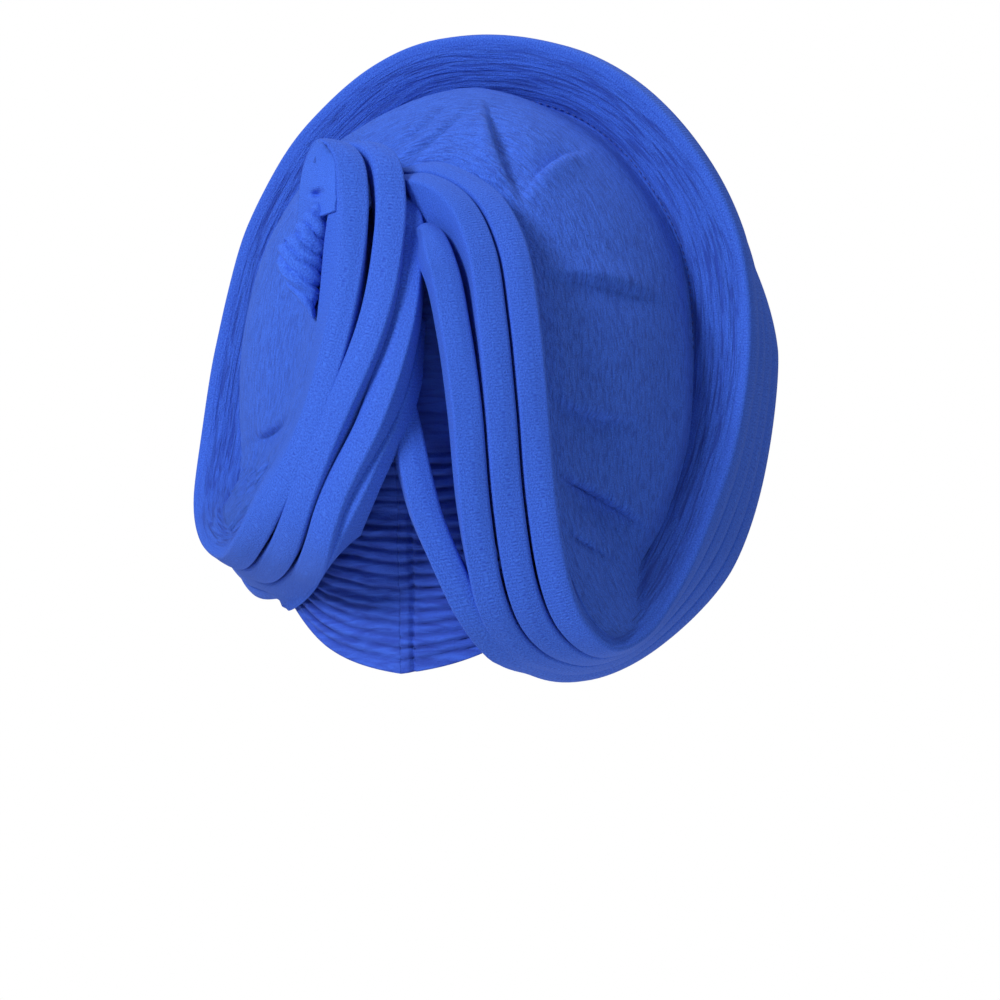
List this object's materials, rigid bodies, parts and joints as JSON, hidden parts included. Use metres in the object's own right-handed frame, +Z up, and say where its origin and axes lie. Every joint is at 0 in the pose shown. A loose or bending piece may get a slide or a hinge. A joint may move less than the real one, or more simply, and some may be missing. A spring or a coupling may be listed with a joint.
{
  "type": "tied gele head tie",
  "caption": "Pre-tied gele head wrap: a ruched stretch cap that carries a halo brim of stacked padded cloth folds, forked at the nape.",
  "frame": {"origin": "middle of the head opening inside the cap, on the axis of the head, level with its widest part less 30 mm", "axes": "+Z up, +Y towards the back of the head, +X towards the wearer's left ear"},
  "size_m": [0.2245, 0.2239, 0.2449],
  "materials": {
    "ruched_jersey": "matte stretch jersey, shirred into fine ruches",
    "ribbed_knit": "matte cross-ribbed stretch knit over soft padding",
    "crinkle_crepe": "matte crinkled crepe with fine wavy ridges"
  },
  "bodies": {
    "root": {"cap": "ruched_jersey", "brim_layer_1": "ribbed_knit", "brim_layer_2": "ribbed_knit", "brim_layer_3": "ribbed_knit", "brim_layer_4": "ribbed_knit", "crown_panel": "crinkle_crepe", "gathered_tuft": "crinkle_crepe"}
  },
  "joints": []
}
